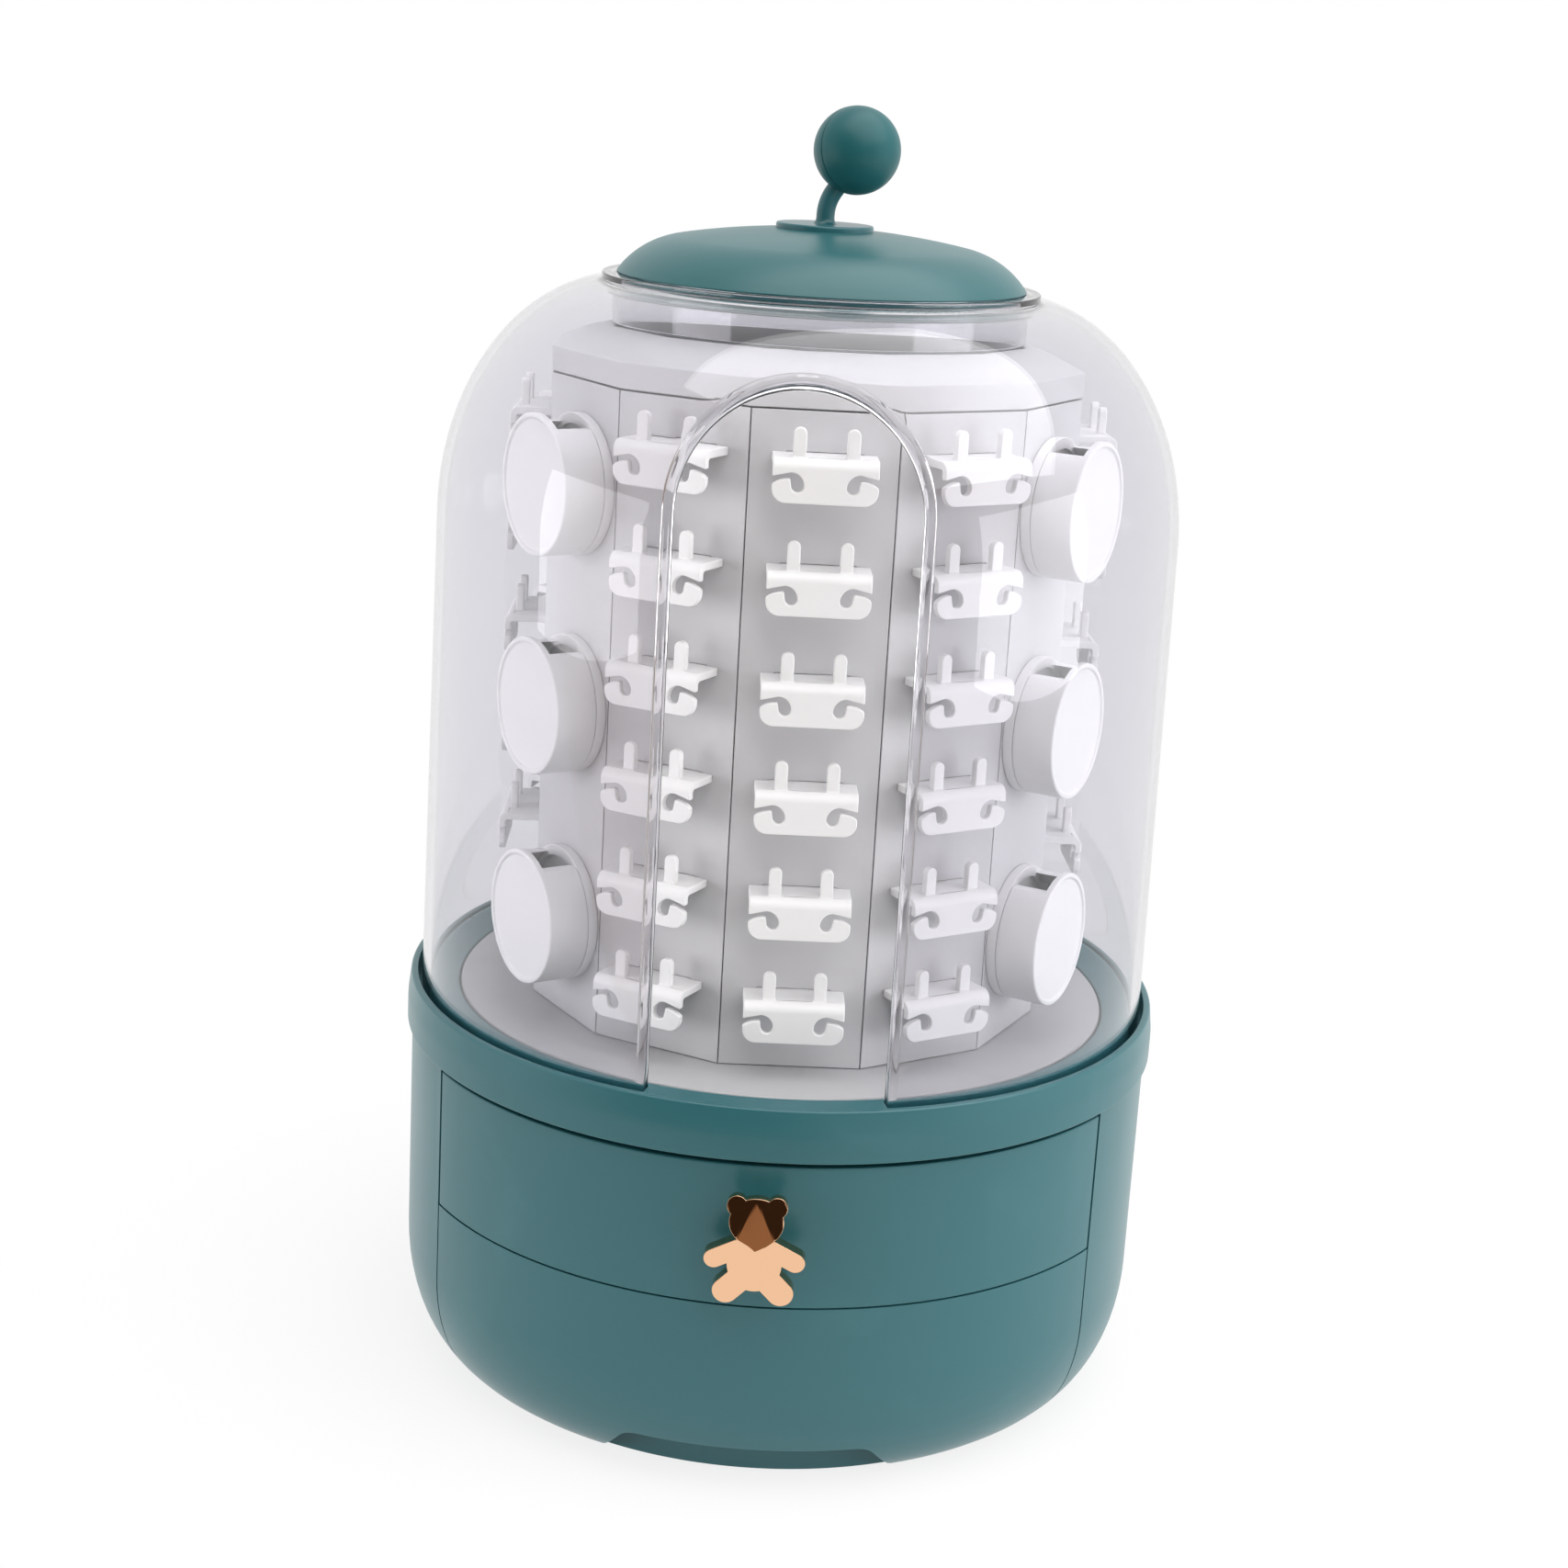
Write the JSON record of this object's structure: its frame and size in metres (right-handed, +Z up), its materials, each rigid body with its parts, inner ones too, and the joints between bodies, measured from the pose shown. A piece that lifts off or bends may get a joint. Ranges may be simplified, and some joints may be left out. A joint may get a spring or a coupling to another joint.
{
  "type": "jewellery organizer",
  "caption": "Round tabletop jewellery organizer: a turning drum of hooks and small round boxes under a clear lift-off dome, over two curved drawers.",
  "frame": {"origin": "on the table under the middle of the rubber pad, on the axis that the drum turns about", "axes": "+Z up along the drum's axis; -Y out of the front, where the drawers and the doorway are; +X to the right of someone who faces the front"},
  "size_m": [0.2036, 0.2118, 0.3377],
  "materials": {
    "green_body": "satin moulded plastic, grey green",
    "green_lid": "smooth moulded plastic, grey green",
    "rose_gold": "polished rose gold plating",
    "clear_dome": "clear moulded plastic",
    "white_plastic": "smooth white moulded plastic",
    "soft_ring": "soft translucent silicone",
    "dark_rubber": "matt rubber",
    "slide_plastic": "waxy natural plastic",
    "steel": "zinc plated steel",
    "frame_plastic": "matt moulded plastic",
    "tray_plastic": "fine matt moulded plastic, grey green"
  },
  "bodies": {
    "base": {"base_shell": "green_body", "base_pad": "dark_rubber", "base_screws": "steel", "drawer_frame": "frame_plastic", "top_ring": "green_body", "ring_screws": "steel", "spindle": "steel", "spindle_washer": "steel", "spindle_screw": "steel", "glide_ring": "slide_plastic"},
    "upper_drawer": {"upper_drawer_front": "green_body", "upper_drawer_tray": "tray_plastic", "upper_drawer_screws": "steel", "bear_knob": "rose_gold", "knob_screw": "steel"},
    "lower_drawer": {"lower_drawer_front": "green_body", "lower_drawer_tray": "tray_plastic", "lower_drawer_screws": "steel"},
    "carousel": {"turntable_disc": "white_plastic", "drum_core": "white_plastic", "core_screws": "steel", "drum_cap": "white_plastic", "panel_01": "white_plastic", "panel_02": "white_plastic", "panel_03": "white_plastic", "panel_04": "white_plastic", "panel_05": "white_plastic", "panel_06": "white_plastic", "panel_07": "white_plastic", "panel_08": "white_plastic", "panel_09": "white_plastic", "panel_10": "white_plastic", "panel_11": "white_plastic", "panel_12": "white_plastic", "hooks_01": "white_plastic", "hooks_02": "white_plastic", "hooks_04": "white_plastic", "hooks_05": "white_plastic", "hooks_06": "white_plastic", "hooks_08": "white_plastic", "hooks_09": "white_plastic", "hooks_10": "white_plastic", "hooks_12": "white_plastic", "box_backs_03": "white_plastic", "box_backs_07": "white_plastic", "box_backs_11": "white_plastic", "box_cups_03": "white_plastic", "box_cups_07": "white_plastic", "box_cups_11": "white_plastic"},
    "dome": {"dome": "clear_dome", "dome_shoulder": "clear_dome", "dome_neck": "clear_dome"},
    "lid": {"lid_shell": "green_lid", "lid_plug": "green_lid", "lid_seal": "soft_ring", "handle_disc": "green_lid", "handle_stem": "green_lid", "handle_screw": "steel", "ball_front": "green_lid", "ball_back": "green_lid"}
  },
  "joints": [
    {"name": "upper_drawer_slide", "type": "slide", "parent": "base", "child": "upper_drawer", "axis": [0, -1, 0], "range_m": [0, 0.1]},
    {"name": "lower_drawer_slide", "type": "slide", "parent": "base", "child": "lower_drawer", "axis": [0, -1, 0], "range_m": [0, 0.1]},
    {"name": "carousel_turn", "type": "hinge", "parent": "base", "child": "carousel", "pos_m": [0, 0, 0.102], "axis": [0, 0, 1], "continuous": true},
    {"name": "dome_lift", "type": "slide", "parent": "base", "child": "dome", "axis": [0, 0, 1], "range_m": [0, 0.19]},
    {"name": "lid_lift", "type": "slide", "parent": "dome", "child": "lid", "axis": [0, 0, 1], "range_m": [0, 0.04]}
  ]
}
